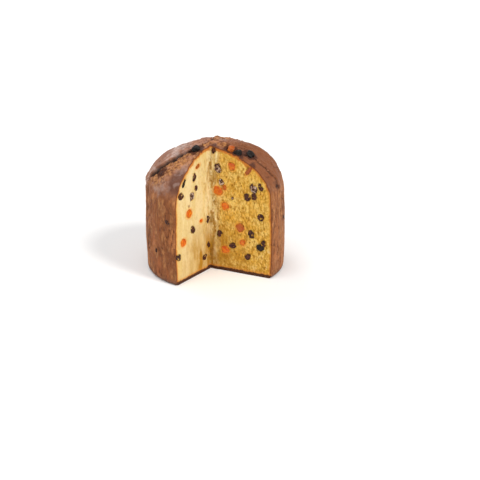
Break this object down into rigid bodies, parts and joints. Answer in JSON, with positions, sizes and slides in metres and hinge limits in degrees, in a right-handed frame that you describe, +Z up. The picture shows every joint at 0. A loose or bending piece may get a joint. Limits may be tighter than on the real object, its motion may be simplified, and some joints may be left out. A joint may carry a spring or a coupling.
{
  "type": "panettone",
  "caption": "Tall round domed fruit loaf with a wedge cut out of its front, standing on its flat baked base.",
  "frame": {"origin": "middle of the round base, on the surface that the loaf stands on, on the axis of its wall", "axes": "+Z up along the loaf's axis; the cut wedge opens towards -Y; +X to the right as the cut is faced"},
  "size_m": [0.1722, 0.1532, 0.161],
  "materials": {
    "crust": "matte",
    "crumb": "matte",
    "raisin": "satin",
    "candied_orange": "gloss"
  },
  "bodies": {
    "root": {"loaf": "crust"}
  },
  "joints": []
}
